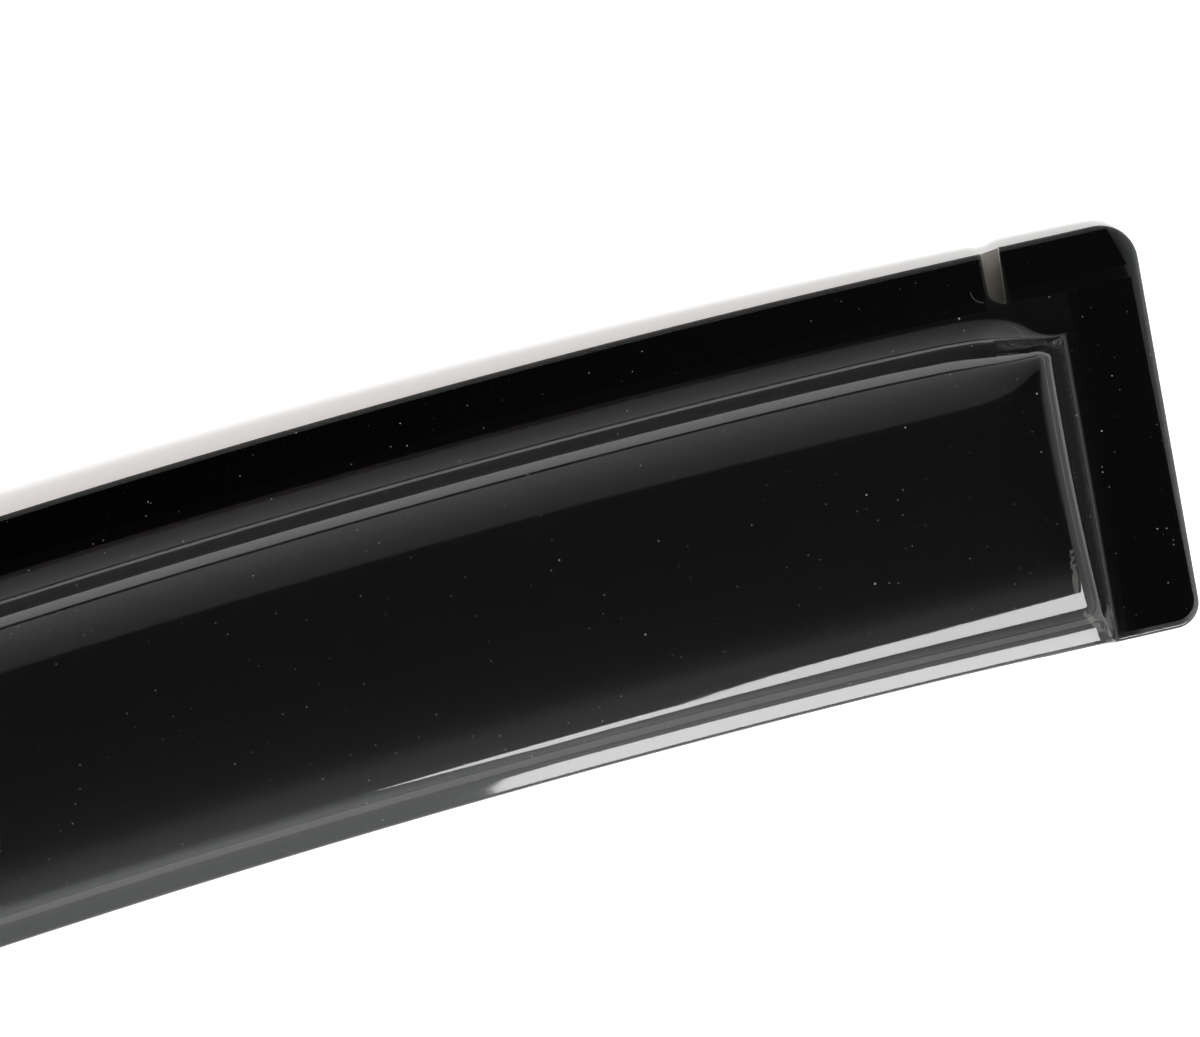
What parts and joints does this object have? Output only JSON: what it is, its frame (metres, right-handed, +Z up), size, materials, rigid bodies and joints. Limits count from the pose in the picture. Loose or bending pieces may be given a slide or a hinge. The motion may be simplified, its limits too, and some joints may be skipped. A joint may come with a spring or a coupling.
{
  "type": "window rain deflector",
  "caption": "Smoked acrylic rain deflector for a car door window: a long shallow dome with a taped flange, flat end tabs and a flared lower lip.",
  "frame": {"origin": "middle of the footprint on the surface that the deflector lies on, outer face up", "axes": "+X along the length towards the end with the pictured tab, +Y across towards the flange edge, +Z up, out of the outer face"},
  "size_m": [0.6952, 0.1196, 0.0283],
  "materials": {
    "smoked_acrylic": "polished dark smoked acrylic",
    "foam_tape": "matt black closed cell foam",
    "liner_film": "smooth red release film"
  },
  "bodies": {
    "root": {"deflector_shell": "smoked_acrylic", "flange_tape": "foam_tape", "flange_liner": "liner_film", "right_top_tape": "foam_tape", "right_top_liner": "liner_film", "right_side_tape": "foam_tape", "right_side_liner": "liner_film", "left_top_tape": "foam_tape", "left_top_liner": "liner_film", "left_side_tape": "foam_tape", "left_side_liner": "liner_film"}
  },
  "joints": []
}
